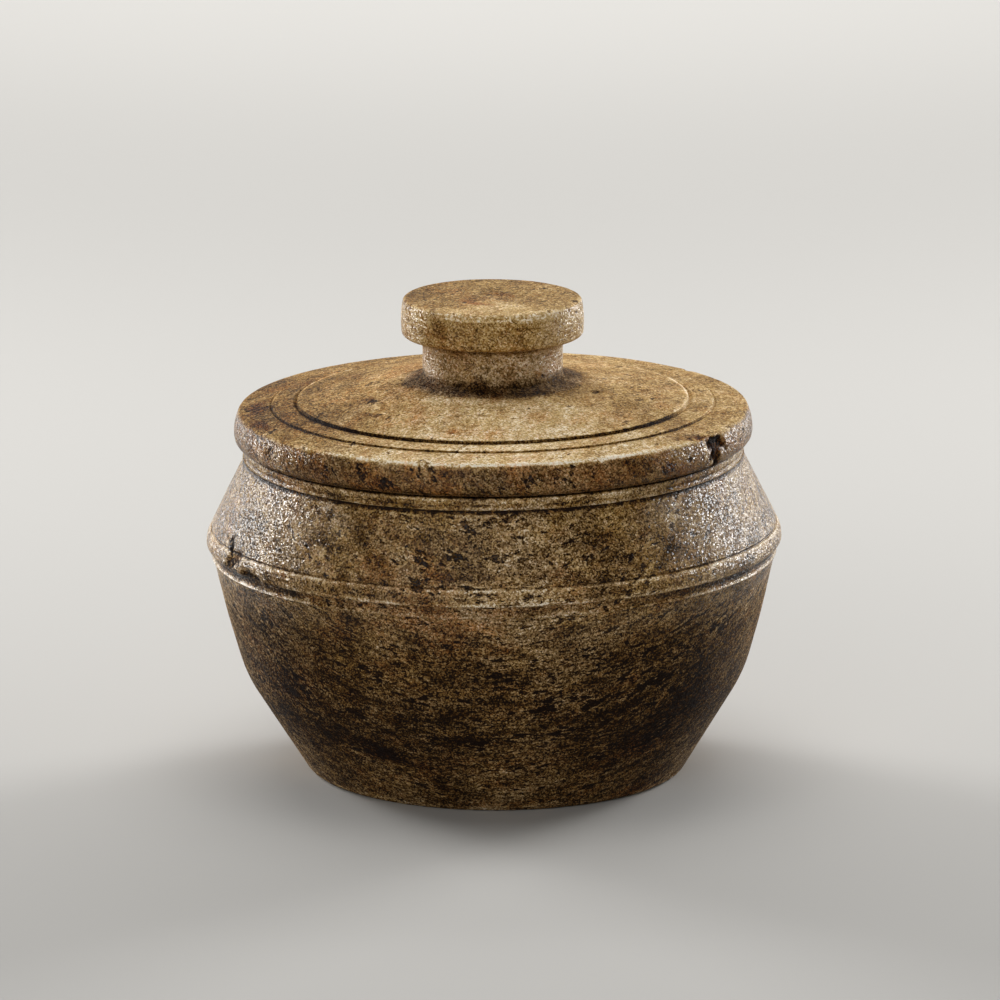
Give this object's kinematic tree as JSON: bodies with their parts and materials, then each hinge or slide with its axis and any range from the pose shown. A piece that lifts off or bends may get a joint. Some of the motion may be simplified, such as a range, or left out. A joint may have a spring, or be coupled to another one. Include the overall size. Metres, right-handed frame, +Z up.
{
  "type": "lidded stone vessel",
  "caption": "Squat turned stone pot with a sharp ridge at its widest, a moulded collar, and a low conical lift-off lid with a drum-shaped knob.",
  "frame": {"origin": "middle of the base, on the surface that the vessel stands on", "axes": "+Z up along the axis on which both stones were turned; the picture looks along +Y, with +X to its right"},
  "size_m": [0.12, 0.12, 0.0999],
  "materials": {
    "body_stone": "turned and worn smooth",
    "lid_stone": "turned and worn smooth"
  },
  "bodies": {
    "vessel": {"vessel_body": "body_stone"},
    "lid": {"lid": "lid_stone"}
  },
  "joints": [
    {"name": "lid_lift", "type": "slide", "parent": "vessel", "child": "lid", "axis": [0, 0, 1], "range_m": [0, 0.08]}
  ]
}
